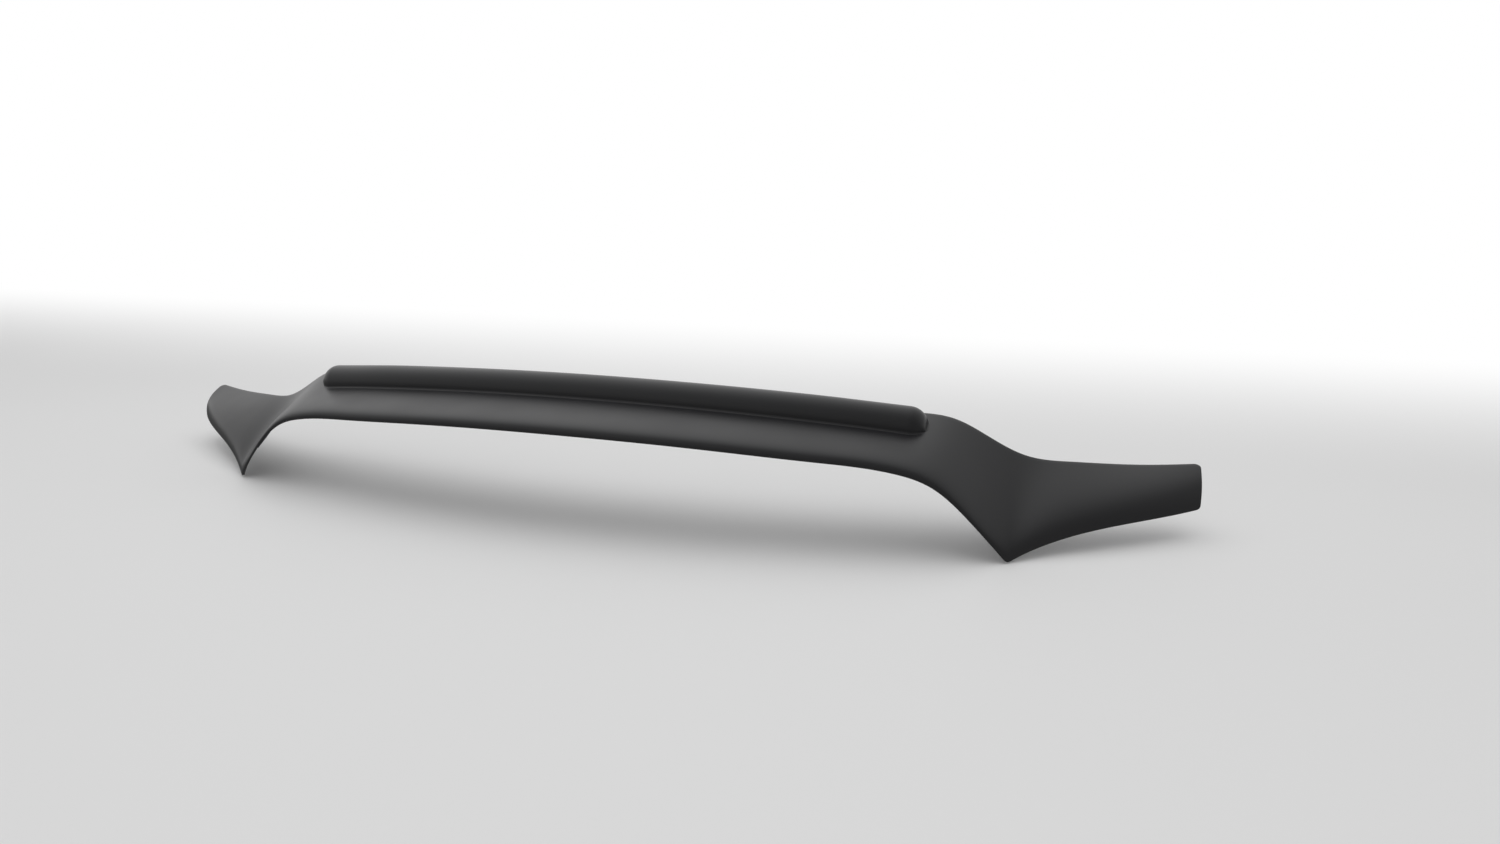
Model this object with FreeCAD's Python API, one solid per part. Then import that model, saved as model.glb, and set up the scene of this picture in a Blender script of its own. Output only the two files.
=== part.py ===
"""Hood bug deflector: one formed acrylic shell with a hollow air lip, foam tapes and bump pads behind it.

Millimetres. X runs across the vehicle, the front faces -Y and +Z is up. The origin is the middle of
the front lower edge, which lines up with the front edge of the hood.
"""
import FreeCAD
import Part
import math
import os

V = FreeCAD.Vector

# Overall sizes
HALF_WIDTH = 730.0
SHEET = 3.0

# Rear edge on one side: distance from the middle, set back, height
REAR_MIDDLE = (0.0, 122.0, 38.8)
REAR_QUARTER = (215.0, 133.0, 33.8)
REAR_LIP_END = (400.0, 159.0, 21.8)
REAR_SHOULDER = (446.0, 168.0, 15.5)
REAR_SLOPE = (488.0, 175.0, -6.5)
REAR_NOTCH = (530.0, 181.0, -27.5)
REAR_WING = (625.0, 215.0, -38.5)
REAR_END = (HALF_WIDTH, 254.0, -40.5)

# Lower edge on one side, down to the tip, then out along the wing
LOWER_MIDDLE = (0.0, 0.0, 0.0)
LOWER_QUARTER = (215.0, 13.0, -6.3)
LOWER_CORNER = (395.0, 42.0, -22.5)
LOWER_BEND = (452.0, 50.0, -48.0)
LOWER_SIDE = (495.0, 55.0, -88.5)
TIP = (521.0, 63.0, -118.0)
LOWER_WING_ROOT = (566.0, 98.0, -102.5)
LOWER_WING = (640.0, 148.0, -90.5)
LOWER_END = (HALF_WIDTH, 215.0, -83.5)
TIP_SHARPNESS = 5.0

# Front roll: how far its theoretical corner stands above and ahead of the lower edge
ROLL_HEIGHT_MIDDLE = 13.0
ROLL_HEIGHT_WING = 30.0
ROLL_AHEAD_MIDDLE = 3.0
ROLL_AHEAD_WING = 1.5
ROLL_WEIGHT_MIDDLE = 2.6
ROLL_WEIGHT_WING = 1.15
ROLL_CHANGE_START = 470.0
ROLL_CHANGE_END = 640.0

# Air lip
LIP_RADIUS = 22.5
LIP_SINK = 1.0
LIP_FILLET = 3.0
LIP_FLANGE = 8.0
LIP_HALF_LENGTH = 418.0

# Corners of the outer ends
END_CORNER_TOP = 9.0
END_CORNER_BOTTOM = 4.0

# Foam tape on the back: glue line, thickness, widths and how far it stays from the edges
TAPE_GLUE = 0.15
TAPE_THICK = 1.1
TAPE_WIDTH = 12.0
NARROW_TAPE_WIDTH = 5.0
NARROW_TAPE_INSET = 1.5
REAR_TAPE_INSET = 4.0
LOWER_TAPE_INSET = 16.0
WING_TAPE_INSET = 5.0
TAPE_END_GAP = 12.0

# Rubber bump pads under the face: glue line and size
PAD_GLUE = 0.3
PAD_RADIUS = 7.0
PAD_THICK = 3.0
PAD_PLACES = (-300.0, -110.0, 110.0, 300.0)
PAD_SETBACK = 14.0

# Worked out from the sizes above
LIP_HALF_WIDTH = math.sqrt((LIP_RADIUS + LIP_FILLET) ** 2 - (LIP_FILLET + LIP_SINK) ** 2)
LIP_STRAIGHT = LIP_HALF_LENGTH - LIP_HALF_WIDTH
LIP_LINE = LIP_FLANGE + LIP_HALF_WIDTH


def ease(t):
    """Smooth step from 0 to 1."""
    t = min(max(t, 0.0), 1.0)
    return t * t * (3.0 - 2.0 * t)


def blend(a, b, t):
    return a + (b - a) * t


def rail(stations):
    """Spline through the stations, whose parameter is the distance from the middle."""
    curve = Part.BSplineCurve()
    curve.interpolate(Points=[V(*p) for p in stations], Parameters=[p[0] for p in stations])
    return curve


def rail_from_middle(stations):
    """The same with its mirror image on the other side, so it is square across the middle."""
    mirrored = [(-x, y, z) for x, y, z in reversed(stations[1:])]
    return rail(mirrored + list(stations))


def along(curve, x):
    """Point of a rail, run on straight past its ends."""
    inside = min(max(x, curve.FirstParameter), curve.LastParameter)
    return curve.getD0(inside) + curve.getD1(inside)[1] * (x - inside)


REAR = rail_from_middle([REAR_MIDDLE, REAR_QUARTER, REAR_LIP_END, REAR_SHOULDER, REAR_SLOPE,
                         REAR_NOTCH, REAR_WING, REAR_END])
LOWER_CENTRE = rail_from_middle([LOWER_MIDDLE, LOWER_QUARTER, LOWER_CORNER, LOWER_BEND, LOWER_SIDE, TIP])
LOWER_OUTER = rail([TIP, LOWER_WING_ROOT, LOWER_WING, LOWER_END])


def section(x):
    """Rear point, roll corner, lower point and roll weight of the section at x."""
    a = abs(x)
    off = a - TIP[0]
    share = 0.5 + 0.5 * off / math.hypot(off, TIP_SHARPNESS)
    rear = along(REAR, a)
    lower = blend(along(LOWER_CENTRE, a), along(LOWER_OUTER, a), share)
    change = ease((a - ROLL_CHANGE_START) / (ROLL_CHANGE_END - ROLL_CHANGE_START))
    height = blend(ROLL_HEIGHT_MIDDLE, ROLL_HEIGHT_WING, change)
    ahead = blend(ROLL_AHEAD_MIDDLE, ROLL_AHEAD_WING, change)
    weight = blend(ROLL_WEIGHT_MIDDLE, ROLL_WEIGHT_WING, change)
    corner = V(x, lower.y - ahead, lower.z + height)
    return V(x, rear.y, rear.z), corner, V(x, lower.y, lower.z), weight


SECTIONS = {}


def section_curve(x):
    """Section of the outer face at x, from the rear edge round the front roll to the lower edge."""
    if x not in SECTIONS:
        rear, corner, lower, weight = section(x)
        curve = Part.BezierCurve()
        curve.setPoles([rear, corner, lower])
        curve.setWeight(2, weight)
        SECTIONS[x] = (curve, curve.length())
    return SECTIONS[x]


def on_face(x, distance):
    """Point of the outer face at a distance from the rear edge, measured down the section at x."""
    curve, length = section_curve(x)
    return curve.value(curve.parameterAtDistance(min(max(distance, 0.0), length), 0))


PROBE = 0.5


def outward(x, distance):
    """Unit vector square to the outer face."""
    length = section_curve(x)[1]
    low, high = max(distance - PROBE, 0.0), min(distance + PROBE, length)
    share = distance / length
    before, after = section_curve(x - PROBE)[1], section_curve(x + PROBE)[1]
    across = on_face(x + PROBE, share * after) - on_face(x - PROBE, share * before)
    down = on_face(x, high) - on_face(x, low)
    return down.cross(across).normalize()


def behind(x, distance, depth):
    """Point at a depth behind the outer face."""
    return on_face(x, distance) - outward(x, distance) * depth if depth else on_face(x, distance)


def skin(grid, rows, columns):
    """Smooth surface through a grid of points, with given parameters for its rows and columns."""
    lines = [spline([row[j] for row in grid], rows) for j in range(len(columns))]
    across = [spline([line.getPole(i + 1) for line in lines], columns) for i in range(lines[0].NbPoles)]
    whole = next(line for line in across if line)
    poles = [line.getPoles() if line else [lines[0].getPole(i + 1)] * whole.NbPoles
             for i, line in enumerate(across)]
    surface = Part.BSplineSurface()
    surface.buildFromPolesMultsKnots(poles, lines[0].getMultiplicities(), whole.getMultiplicities(),
                                     lines[0].getKnots(), whole.getKnots(), False, False,
                                     lines[0].Degree, whole.Degree)
    return surface


def spline(points, parameters):
    """Spline through points at given parameters, or nothing where they all lie on one spot."""
    if max((point - points[0]).Length for point in points) < 1e-6:
        return None
    curve = Part.BSplineCurve()
    curve.interpolate(Points=points, Parameters=parameters)
    return curve


NOSE_TURN = math.radians(75)
NOSE_STEPS = 6
STRAIGHT_STEPS = 4
LIP_STEPS = 8
LIP_COLUMNS = [i / LIP_STEPS for i in range(-LIP_STEPS, LIP_STEPS + 1)]
REAR_SHARES = [0.0, 0.35, 0.7, 1.0]
FRONT_SHARES = [0.0, 0.2, 0.4, 0.55, 0.66, 0.74, 0.8, 0.85, 0.89, 0.925, 0.96, 1.0]
OUTER_SPANS = [(LIP_HALF_LENGTH, 500.0, 5), (500.0, 542.0, 6), (542.0, 620.0, 4), (620.0, HALF_WIDTH, 4)]


def lip_rows():
    """Parameters along the lip: the distance from the middle, then round the nose to its tip."""
    right = [LIP_STRAIGHT * i / STRAIGHT_STEPS for i in range(STRAIGHT_STEPS)]
    right += [LIP_STRAIGHT + LIP_HALF_WIDTH * NOSE_TURN * i / NOSE_STEPS for i in range(NOSE_STEPS + 1)]
    return [-u for u in reversed(right[1:])] + right


def nose(u):
    """At a parameter along the lip: x of the lip, x of its line out to the edges, and turn round the nose."""
    angle = max(abs(u) - LIP_STRAIGHT, 0.0) / LIP_HALF_WIDTH
    x = min(abs(u), LIP_STRAIGHT)
    side = math.copysign(1.0, u)
    return side * (x + nose_reach(angle)), side * (x + LIP_HALF_WIDTH * angle / NOSE_TURN), angle


def nose_reach(angle):
    """How far the nose reaches past the straight lip where its outline has turned by an angle."""
    return LIP_HALF_WIDTH * math.sin(angle) / math.sin(NOSE_TURN)


def lip_section(t):
    """Half section of the lip, t 0 at its top and 1 where its fillet meets the face: distance out and height."""
    lean = math.asin(LIP_HALF_WIDTH / (LIP_RADIUS + LIP_FILLET))
    run = abs(t) * lean * (LIP_RADIUS + LIP_FILLET)
    if run <= lean * LIP_RADIUS:
        turn = run / LIP_RADIUS
        out, height = LIP_RADIUS * math.sin(turn), LIP_RADIUS * math.cos(turn) - LIP_SINK
    else:
        turn = lean - (run - lean * LIP_RADIUS) / LIP_FILLET
        out, height = LIP_HALF_WIDTH - LIP_FILLET * math.sin(turn), LIP_FILLET * (1 - math.cos(turn))
    return math.copysign(out, t), height


def lip_height(reach):
    """Height of the lip on its middle line at a reach past its straight part: the same section, turned."""
    lean = math.asin(LIP_HALF_WIDTH / (LIP_RADIUS + LIP_FILLET))
    if reach <= LIP_RADIUS * math.sin(lean):
        return math.sqrt(LIP_RADIUS ** 2 - reach ** 2) - LIP_SINK
    return LIP_FILLET - math.sqrt(LIP_FILLET ** 2 - max(LIP_HALF_WIDTH - reach, 0.0) ** 2)


def lip_point(u, t):
    """Point of the outer face of the lip: t runs from -1 at its rear side to 1 at its front side."""
    x, edge_x, angle = nose(u)
    out, height = lip_section(t)
    low = lip_height(nose_reach(angle)) / (LIP_RADIUS - LIP_SINK)
    distance = LIP_LINE + out * math.cos(angle)
    return on_face(x, distance) + outward(x, distance) * (height * low)


def lip_behind(u, t, depth):
    """Point at a depth behind the outer face of the lip."""
    if depth == 0:
        return lip_point(u, t)
    x, edge_x, angle = nose(u)
    if abs(t) > 1 - 1e-6 or angle > NOSE_TURN - 1e-6:
        return behind(x, LIP_LINE + lip_section(t)[0] * math.cos(angle), depth)
    along_lip = lip_point(u + PROBE / 5, t) - lip_point(u - PROBE / 5, t)
    around = lip_point(u, t + PROBE / 100) - lip_point(u, t - PROBE / 100)
    return lip_point(u, t) - around.cross(along_lip).normalize() * depth


def lip_skin(depth):
    rows = lip_rows()
    return skin([[lip_behind(u, t, depth) for t in LIP_COLUMNS] for u in rows], rows, LIP_COLUMNS)


def centre_skin(shares, side, depth):
    """Face between the lip and an edge: side is -1 for the rear edge and 1 for the lower edge."""
    rows = lip_rows()
    grid = []
    for u in rows:
        lip_x, edge_x, angle = nose(u)
        start = LIP_LINE + side * LIP_HALF_WIDTH * math.cos(angle)
        row = []
        for share in shares:
            away = share if side > 0 else 1 - share
            x = blend(lip_x, edge_x, away)
            edge = section_curve(x)[1] if side > 0 else 0.0
            row.append(behind(x, blend(start, edge, away), depth))
        grid.append(row)
    return skin(grid, rows, shares)


def outer_rows(hand):
    """Distances of the sections of one end, closer together where the form turns."""
    rows = [blend(start, end, i / count) for start, end, count in OUTER_SPANS for i in range(count)]
    rows.append(HALF_WIDTH)
    return rows if hand > 0 else [-x for x in reversed(rows)]


def outer_skin(strip, hand, depth):
    """Face outside the lip's nose: the strip behind the nose, the one beyond it or the one in front."""
    rows = outer_rows(hand)
    half = LIP_HALF_WIDTH * math.cos(NOSE_TURN)
    columns = {"rear": REAR_SHARES, "middle": LIP_COLUMNS, "front": FRONT_SHARES}[strip]
    grid = []
    for x in rows:
        edge = section_curve(x)[1]
        ends = {"rear": (0.0, LIP_LINE - half), "front": (LIP_LINE + half, edge)}
        if strip == "middle":
            distances = [LIP_LINE + half * lip_section(t)[0] / LIP_HALF_WIDTH for t in columns]
        else:
            distances = [blend(*ends[strip], share) for share in columns]
        grid.append([behind(x, distance, depth) for distance in distances])
    return skin(grid, rows, columns)


def shell_skins(depth):
    """The skin at a depth behind the outer face, as named surfaces."""
    skins = {"lip": lip_skin(depth)}
    skins["centre rear"] = centre_skin(REAR_SHARES, -1, depth)
    skins["centre front"] = centre_skin(FRONT_SHARES, 1, depth)
    for strip in ("rear", "middle", "front"):
        for hand in (-1, 1):
            skins[strip, hand] = outer_skin(strip, hand, depth)
    return skins


def ruled(a, b):
    return Part.makeRuledSurface(a.toShape(), b.toShape())


def sewn(faces):
    shell = Part.makeShell(faces)
    shell.sewShape()
    solid = Part.makeSolid(shell)
    return solid if solid.Volume > 0 else solid.reversed()


def shell_solid():
    front = shell_skins(0.0)
    back = shell_skins(SHEET)
    faces = [surface.toShape() for surface in list(front.values()) + list(back.values())]
    for edge, names in ((0.0, ("centre rear", ("rear", -1), ("rear", 1))),
                        (1.0, ("centre front", ("front", -1), ("front", 1)))):
        faces += [ruled(front[name].vIso(edge), back[name].vIso(edge)) for name in names]
    for hand in (-1, 1):
        for strip in ("rear", "middle", "front"):
            name = (strip, hand)
            faces.append(ruled(front[name].uIso(hand * HALF_WIDTH), back[name].uIso(hand * HALF_WIDTH)))
    return sewn(faces)


def square_width(x, width, edge):
    """Run down the section at x that makes a strip of a given width square to its edge."""
    before, after = (on_face(at, edge * section_curve(at)[1]) for at in (x - PROBE, x + PROBE))
    run = (after - before).normalize()
    down = on_face(x, blend(PROBE, section_curve(x)[1], edge)) - on_face(x, blend(0.0, section_curve(x)[1] - PROBE, edge))
    return width / math.sqrt(1 - run.dot(down.normalize()) ** 2)


def tape(start, end, count, edge, inset, width):
    """Strip of foam tape on the back: edge is 0 along the rear edge and 1 along the lower edge."""
    rows = [blend(start, end, i / count) for i in range(count + 1)]
    columns = [0.0, 0.5, 1.0]
    skins = []
    for depth in (SHEET + TAPE_GLUE, SHEET + TAPE_GLUE + TAPE_THICK):
        grid = []
        for x in rows:
            near, far = square_width(x, inset, edge), square_width(x, inset + width, edge)
            length = section_curve(x)[1]
            spots = [blend(near, far, c) for c in columns]
            grid.append([behind(x, length - spot if edge else spot, depth) for spot in spots])
        skins.append(skin(grid, rows, columns))
    front, back = skins
    sides = [(front.vIso(v), back.vIso(v)) for v in (0.0, 1.0)] + [(front.uIso(u), back.uIso(u)) for u in (start, end)]
    return sewn([front.toShape(), back.toShape()] + [ruled(a, b) for a, b in sides])


def bump_pads():
    """Round rubber pads between the lip and the lower tape."""
    pads = []
    for x in PAD_PLACES:
        distance = LIP_LINE + LIP_HALF_WIDTH + PAD_SETBACK
        out = outward(x, distance)
        seat = on_face(x, distance) - out * (SHEET + PAD_GLUE)
        pads.append(Part.makeCylinder(PAD_RADIUS, PAD_THICK, seat, out * -1))
    return Part.makeCompound(pads)


def tapes():
    """The tape strips by name."""
    straight = LIP_STRAIGHT - TAPE_END_GAP
    shoulder = LIP_HALF_LENGTH + TAPE_END_GAP
    wing_end = HALF_WIDTH - TAPE_END_GAP
    strips = {"rear_tape_centre": tape(-straight, straight, 8, 0, NARROW_TAPE_INSET, NARROW_TAPE_WIDTH),
              "lower_tape_centre": tape(-straight, straight, 8, 1, LOWER_TAPE_INSET, TAPE_WIDTH)}
    for name, hand in (("right", -1), ("left", 1)):
        ends = sorted((hand * shoulder, hand * wing_end))
        strips["rear_tape_" + name] = tape(*ends, 14, 0, REAR_TAPE_INSET, TAPE_WIDTH)
        ends = sorted((hand * (LIP_STRAIGHT + TAPE_END_GAP), hand * (TIP[0] - 2 * TAPE_END_GAP)))
        strips["side_tape_" + name] = tape(*ends, 8, 1, LOWER_TAPE_INSET, TAPE_WIDTH)
        ends = sorted((hand * (TIP[0] + 2 * TAPE_END_GAP), hand * wing_end))
        strips["wing_tape_" + name] = tape(*ends, 8, 1, WING_TAPE_INSET, TAPE_WIDTH)
    return strips


def corner_cutter(hand, low, radius):
    """Tool that rounds one corner of an outer end, cut square to the sheet."""
    length = section_curve(hand * HALF_WIDTH)[1]
    at = length if low else 0.0
    corner = on_face(hand * HALF_WIDTH, at)
    out = outward(hand * HALF_WIDTH, at)
    inner = hand * (HALF_WIDTH - radius)
    inward = (on_face(inner, section_curve(inner)[1] if low else 0.0) - corner).normalize()
    along_end = (on_face(hand * HALF_WIDTH, length - radius if low else radius) - corner).normalize()
    out = (inward.cross(along_end) * (1 if out.dot(inward.cross(along_end)) > 0 else -1)).normalize()
    half = inward.getAngle(along_end) / 2
    middle = (inward + along_end).normalize()
    first = corner + inward * (radius / math.tan(half))
    last = corner + along_end * (radius / math.tan(half))
    top = corner + middle * (radius / math.sin(half) - radius)
    beyond = corner - middle * 2 * radius
    outline = Part.Wire([Part.Arc(first, top, last).toShape(), Part.makeLine(last, last - middle * radius),
                         Part.makeLine(last - middle * radius, beyond),
                         Part.makeLine(beyond, first - middle * radius),
                         Part.makeLine(first - middle * radius, first)])
    outline.translate(out * 3 * SHEET)
    return Part.Face(outline).extrude(out * -6 * SHEET)


def rounded_ends(shell):
    """The shell with the four corners of its outer ends rounded."""
    for hand in (-1, 1):
        shell = shell.cut(corner_cutter(hand, False, END_CORNER_TOP))
        shell = shell.cut(corner_cutter(hand, True, END_CORNER_BOTTOM))
    return shell


def main():
    os.makedirs("parts", exist_ok=True)
    pieces = {"deflector_shell": rounded_ends(shell_solid()), "bump_pads": bump_pads()}
    pieces.update(tapes())
    for name, shape in pieces.items():
        shape.exportStep(os.path.join("parts", name + ".step"))
        print(name, len(shape.Solids), shape.isValid(), round(shape.Volume))


main()
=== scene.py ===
"""Hood bug deflector: a satin dark acrylic shell with a hollow air lip, foam tapes and bump pads.

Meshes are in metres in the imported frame, while the sizes of the form are written in millimetres.
X runs across the vehicle, the front faces -Y, +Z is up, and the origin is the middle of the front
lower edge.
"""

import bmesh
import bpy
import math
import numpy as np
from mathutils import Matrix, Vector


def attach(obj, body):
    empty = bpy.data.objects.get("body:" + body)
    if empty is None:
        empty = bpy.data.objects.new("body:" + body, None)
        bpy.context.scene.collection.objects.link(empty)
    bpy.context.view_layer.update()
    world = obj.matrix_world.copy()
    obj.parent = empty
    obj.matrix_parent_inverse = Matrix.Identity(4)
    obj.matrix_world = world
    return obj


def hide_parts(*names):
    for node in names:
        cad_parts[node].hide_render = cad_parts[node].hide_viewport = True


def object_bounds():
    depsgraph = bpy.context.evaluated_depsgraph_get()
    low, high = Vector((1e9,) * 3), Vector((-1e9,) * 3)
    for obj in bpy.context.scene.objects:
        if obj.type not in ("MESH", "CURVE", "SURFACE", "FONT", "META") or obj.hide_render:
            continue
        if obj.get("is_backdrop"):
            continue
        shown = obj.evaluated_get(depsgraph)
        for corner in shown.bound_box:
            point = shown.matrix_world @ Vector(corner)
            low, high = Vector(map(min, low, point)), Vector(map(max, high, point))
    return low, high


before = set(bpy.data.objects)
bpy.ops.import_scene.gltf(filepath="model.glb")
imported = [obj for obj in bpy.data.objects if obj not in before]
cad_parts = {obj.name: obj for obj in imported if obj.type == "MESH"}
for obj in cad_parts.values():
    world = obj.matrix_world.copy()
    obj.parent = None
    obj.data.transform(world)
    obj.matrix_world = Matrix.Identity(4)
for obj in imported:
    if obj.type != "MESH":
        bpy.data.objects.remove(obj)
CAD_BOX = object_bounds()

bl_info = {
    "name": "Hood bug deflector",
    "version": (1, 0, 0),
    "blender": (4, 5, 0),
    "location": "View3D > Sidebar > Deflector",
    "description": "Builds a stick-on hood bug deflector with its tapes and pads",
    "category": "Object",
}

MM = 0.001

# Rear edge on one side: distance from the middle as a share of the half width, set back, height
REAR_EDGE = {
    "middle": (0.0, 127.0, 37.6),
    "quarter": (0.2945, 137.1, 32.7),
    "straight": (0.42, 147.4, 27.6),
    "lip end": (0.548, 161.5, 20.6),
    "shoulder": (0.611, 168.0, 15.0),
    "slope": (0.6685, 175.0, -6.3),
    "notch": (0.726, 183.0, -27.0),
    "wing root": (0.7945, 199.0, -34.6),
    "wing": (0.911, 230.0, -39.4),
    "end": (1.0, 254.0, -38.8),
}

# Lower edge on one side, from the middle down to the tip of the cheek
CHEEK_EDGE = {
    "middle": (0.0, 0.0, 0.0),
    "quarter": (0.2329, 8.0, -3.9),
    "straight": (0.4247, 27.5, -13.0),
    "corner": (0.548, 43.0, -23.2),
    "bend": (0.6027, 48.6, -38.0),
    "side": (0.6644, 53.8, -78.0),
    "tip": (0.7137, 63.0, -117.5),
}

# Lower edge from the tip out along the wing
WING_EDGE = {
    "tip": CHEEK_EDGE["tip"],
    "wing root": (0.7753, 98.0, -102.5),
    "wing": (0.8767, 148.0, -90.5),
    "end": (1.0, 215.0, -83.5),
}

# How sharply the lower edge turns at the tip, and how softly the sheet does above it, in mm
TIP_SHARPNESS = 5.0
VALLEY_SOFTNESS = 26.0

# Front roll, in the middle and on the wing: how far its theoretical corner stands above and ahead
ROLL_HEIGHT = (13.0, 30.0)
ROLL_AHEAD = (3.0, 1.5)
ROLL_WEIGHT = (2.6, 1.3)
ROLL_CHANGE = (0.66, 0.79)

# Steps of the mesh, and the small steps in mm and in shares of the lip that find a slope
LINE_STEPS = 513
PROBE = 0.5
LIP_PROBE = 0.1
LIP_SHARE_PROBE = 0.005
NOSE_TURN = math.radians(75)
NOSE_STEPS = 22
STRAIGHT_STEPS = 48
LIP_HALF = np.concatenate([np.linspace(0.0, 0.86, 19), np.linspace(0.88, 1.0, 7)])
LIP_COLUMNS = np.concatenate([-LIP_HALF[:0:-1], LIP_HALF])
REAR_COLUMNS = np.linspace(0.0, 1.0, 6)
FRONT_COLUMNS = np.concatenate([np.linspace(0.0, 0.68, 15), np.linspace(0.70, 1.0, 25)])

# Bands either side of the tip, as distances in mm from it, and how many steps each takes
TIP_BANDS = ((-24.0, -8.0, 6), (-8.0, 8.0, 12), (8.0, 30.0, 8))
SHOULDER_STEPS = 14
WING_STEPS = 26
CORNER_STEPS = 8

# Segments of the rounds along a rim
RIM_SEGMENTS = 2

# Foam tape in mm: steps along it, and how far in from its edge of the sheet each strip lies
TAPE_STEP = 6.0
TAPE_MIN_STEPS = 8
TAPE_COLUMNS = 5
TAPE_ROUND = 0.2
INSET_NARROW = 1.5
INSET_REAR = 4.0
INSET_LOWER = 16.0
INSET_WING = 5.0

# Bump pads: places as shares of the half width, and how far in front of the lip they sit in mm
PAD_PLACES = (-0.41, -0.15, 0.15, 0.41)
PAD_SETBACK = 14.0
PAD_GLUE = 0.3
PAD_SQUARENESS = 0.3
PAD_TURN_POINTS = 49
PAD_RISE_POINTS = 25
PAD_MERGE = 0.12

# Studio in m: floor, and where it fades to white, behind the part and all round it
FLOOR_HALF = 14.0
FLOOR_GAP = 0.002
BEHIND_FADE = (0.5, 1.7)
ROUND_FADE = (1.6, 3.6)

# Studio light: strength of the world all round, and of what the part mirrors instead: the world
# ahead of it, the floor, and the share that is left of the world towards +X. The fades are spans
# of a direction's Y and X.
WORLD_LIGHT = 0.5
FRONT_LIGHT = 0.3
FLOOR_LIGHT = 0.16
FRONT_FADE = (-0.75, 0.8)
SIDE_LIGHT = 0.4
SIDE_FADE = (-0.45, 0.75)

# Lamps: name, place and target in m, power in W, width and depth in m
LAMPS = (
    ("overhead softbox", (0.1, 0.3, 2.6), (0.0, 0.1, 0.0), 42.0, 4.4, 3.2),
    ("front fill", (0.6, -2.6, 1.1), (0.0, 0.0, 0.0), 4.0, 2.5, 1.2),
)

# Materials: grain, cloud and bump sizes in mm, range of roughness, share the clouds tint, and shine
LOOKS = {
    "sheet": {"grain": 0.35, "cloud": 90.0, "roughness": (0.34, 0.41), "bump": 0.004, "shine": 0.8},
    "edge": {"grain": 0.25, "cloud": 12.0, "roughness": (0.30, 0.50), "bump": 0.008, "tint": 0.2},
    "foam": {"grain": 0.9, "cloud": 30.0, "roughness": (0.8, 0.95), "bump": 0.05, "tint": 0.12},
    "pad": {"grain": 0.6, "cloud": 8.0, "roughness": (0.32, 0.42), "bump": 0.01},
    "floor": {"grain": 2.0, "cloud": 400.0, "roughness": (0.55, 0.65), "bump": 0.02, "tint": 0.01},
}
FINE_NOISE = {"Detail": 3.0, "Roughness": 0.55}
CLOUD_NOISE = {"Detail": 4.0}
CLOUD_SPAN = (0.3, 0.7)
WHITE = (1.0, 1.0, 1.0, 1.0)

# Camera fitted to the photograph: focal length and sensor in mm, place in m, right, down and forward
CAMERA_LENS = 24.0
CAMERA_SENSOR = 36.0
CAMERA_PLACE = (0.558703, -1.003918, 0.298070)
CAMERA_RIGHT = (0.95399, 0.29981, 0.00372)
CAMERA_DOWN = (0.07626, -0.23061, -0.97007)
CAMERA_FORWARD = (-0.28997, 0.92572, -0.24286)


def length(name, description, default, low=0.0):
    """Property for a size in millimetres."""
    return bpy.props.FloatProperty(
        name=name, description=description + ", mm", default=default, min=low)


def colour(name, description, default):
    """Property for a colour."""
    return bpy.props.FloatVectorProperty(
        name=name, description=description, subtype="COLOR", size=3, default=default, min=0.0, max=1.0)


class DeflectorSizes(bpy.types.PropertyGroup):
    """Sizes of the shell and of what is stuck behind it, in millimetres"""

    half_width: length("Half width", "Middle to an outer end", round(CAD_BOX[1].x / MM, 1), 500.0)
    sheet: length("Sheet", "Thickness of the acrylic sheet", 3.0, 1.0)
    edge_round: length("Edge round", "Radius of the routed edge of the sheet", 0.8)
    end_corner_top: length("End corner, top", "Corner radius at the rear of an outer end", 9.0)
    end_corner_bottom: length("End corner, bottom", "Corner radius at the front of an outer end", 4.0)
    lip_radius: length("Lip radius", "Radius of the air lip's section", 22.5, 5.0)
    lip_sink: length("Lip sink", "How far the lip's centre lies under the face", 1.0)
    lip_fillet: length("Lip fillet", "Radius where the lip meets the face", 3.0, 0.5)
    lip_flange: length("Lip flange", "Flat between the rear edge and the lip", 6.0)
    lip_half_length: length("Lip half length", "Middle to the end of the lip", 421.0, 100.0)
    tape_glue: length("Tape glue", "Glue line between the sheet and a tape", 0.15)
    tape_thick: length("Tape thickness", "Thickness of the foam tape", 1.1, 0.3)
    tape_width: length("Tape width", "Width of the wide foam tape", 12.0, 2.0)
    tape_narrow: length("Narrow tape", "Width of the foam tape behind the lip", 5.0, 1.0)
    tape_gap: length("Tape gap", "Bare length past the end of a tape", 12.0)
    pad_radius: length("Pad radius", "Radius of a bump pad", 7.0, 1.0)
    pad_thick: length("Pad thickness", "Thickness of a bump pad", 3.0, 0.5)


class DeflectorColours(bpy.types.PropertyGroup):
    """Colours of the part and of the studio floor"""

    # The dark grey is the sheet's own colour; its slight blue cast is a painted reflection tint.
    acrylic: colour("Acrylic", "Satin dark sheet", (0.0115, 0.0116, 0.0130))
    edge: colour("Edge", "Routed edge of the sheet", (0.045, 0.045, 0.046))
    tape: colour("Foam tape", "Foam tape", (0.10, 0.10, 0.105))
    pad: colour("Bump pad", "Soft pad", (0.30, 0.30, 0.30))
    floor: colour("Floor", "Studio floor", (0.80, 0.80, 0.80))


def mix(a, b, t):
    """From a to b as t goes from 0 to 1."""
    return a + (b - a) * t


def ease(t):
    """Smooth step from 0 to 1."""
    t = np.clip(t, 0.0, 1.0)
    return t * t * (3.0 - 2.0 * t)


def unit(v):
    """Vectors of length 1."""
    return v / np.linalg.norm(v, axis=-1, keepdims=True)


def end_slope(points):
    """Slope at the first of four points of the cubic through them."""
    x = points[:, 0] - points[0, 0]
    return np.linalg.solve(np.vander(x, 4, increasing=True), points)[1]


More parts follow.
